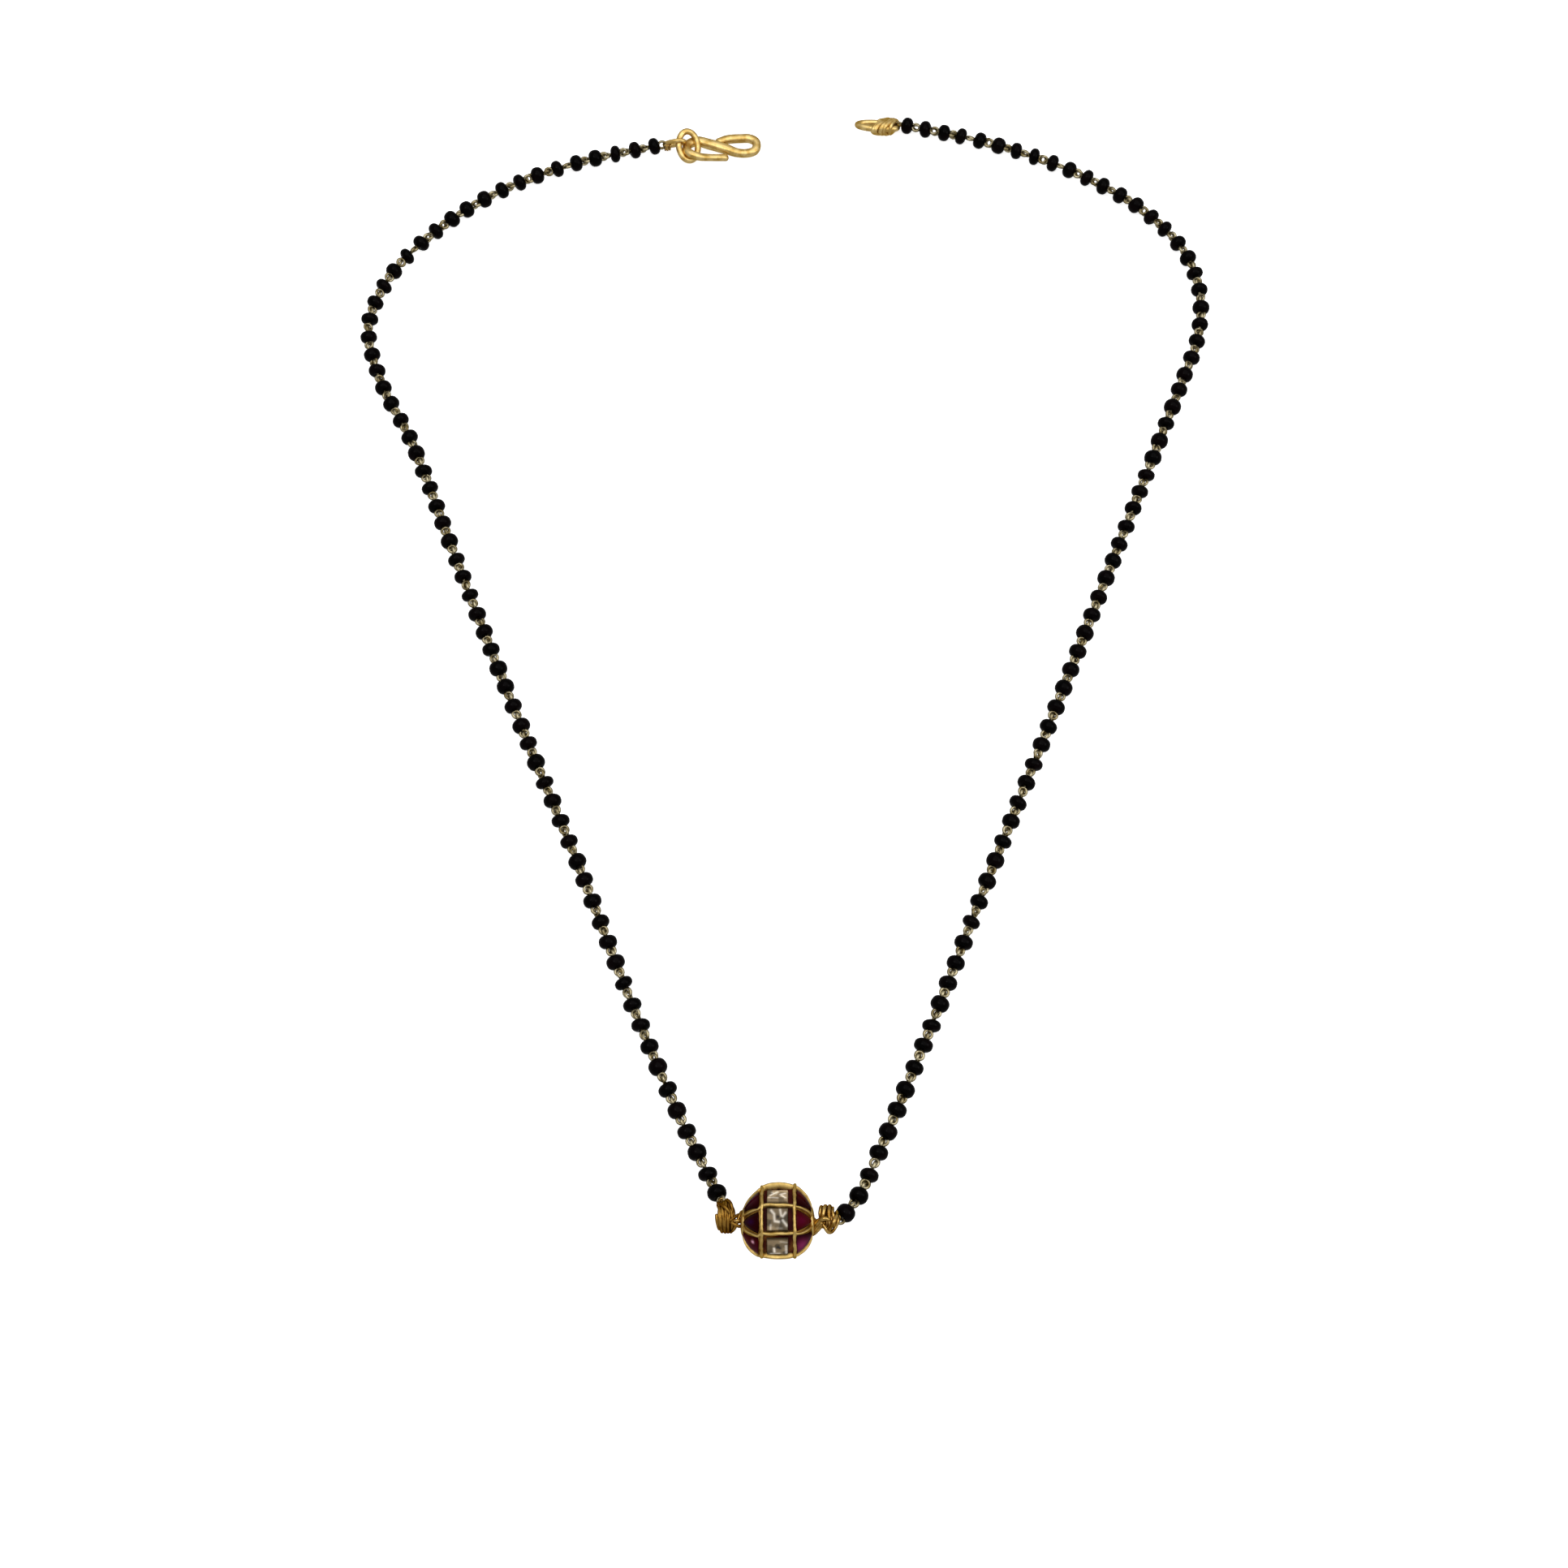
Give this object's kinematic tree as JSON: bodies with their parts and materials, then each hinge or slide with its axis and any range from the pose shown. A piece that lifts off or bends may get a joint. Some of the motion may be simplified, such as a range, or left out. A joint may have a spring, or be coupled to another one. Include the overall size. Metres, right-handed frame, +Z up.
{
  "type": "short bead necklace with a stone-set ball",
  "caption": "Short necklace of black glass beads on looped gold wire, with one stone-set gold ball at the front and an open S-hook clasp, lying flat.",
  "frame": {"origin": "centre of the outline seen from above, at the height of the surface that it lies on", "axes": "+Y from the ball at the front towards the clasp, +X towards the catch ring's side of the chain, +Z up off the surface"},
  "size_m": [0.1306, 0.1814, 0.0096],
  "materials": {
    "ball_gold": "polished high-carat gold, hand-worked ribs",
    "clear_stone": "flat-cut clear stone over silver foil",
    "ruby_stone": "polished dark red stone",
    "wound_gold_wire": "polished wire",
    "black_glass": "glossy black glass beads on pale gold wire",
    "clasp_gold": "satin gold, brightly lit"
  },
  "bodies": {
    "root": {"ball_setting": "ball_gold", "clear_stone_1": "clear_stone", "clear_stone_2": "clear_stone", "clear_stone_3": "clear_stone", "clear_stone_4": "clear_stone", "clear_stone_5": "clear_stone", "clear_stone_6": "clear_stone", "clear_stone_7": "clear_stone", "clear_stone_8": "clear_stone", "ruby_stone_left_1": "ruby_stone", "ruby_stone_left_2": "ruby_stone", "ruby_stone_left_3": "ruby_stone", "ruby_stone_left_4": "ruby_stone", "ruby_stone_left_5": "ruby_stone", "ruby_stone_left_6": "ruby_stone", "ruby_stone_left_7": "ruby_stone", "ruby_stone_left_8": "ruby_stone", "ruby_stone_right_1": "ruby_stone", "ruby_stone_right_2": "ruby_stone", "ruby_stone_right_3": "ruby_stone", "ruby_stone_right_4": "ruby_stone", "ruby_stone_right_5": "ruby_stone", "ruby_stone_right_6": "ruby_stone", "ruby_stone_right_7": "ruby_stone", "ruby_stone_right_8": "ruby_stone", "wrap_link_left": "wound_gold_wire", "wrap_link_right": "wound_gold_wire", "strand_left_1": "black_glass", "strand_left_2": "black_glass", "strand_left_3": "black_glass", "strand_left_4": "black_glass", "strand_left_5": "black_glass", "strand_left_6": "black_glass", "strand_right_1": "black_glass", "strand_right_2": "black_glass", "strand_right_3": "black_glass", "strand_right_4": "black_glass", "strand_right_5": "black_glass", "strand_right_6": "black_glass", "end_loop": "clasp_gold", "hook_ring": "clasp_gold", "s_hook": "clasp_gold", "catch_ring": "clasp_gold", "catch_wrap": "clasp_gold"}
  },
  "joints": []
}
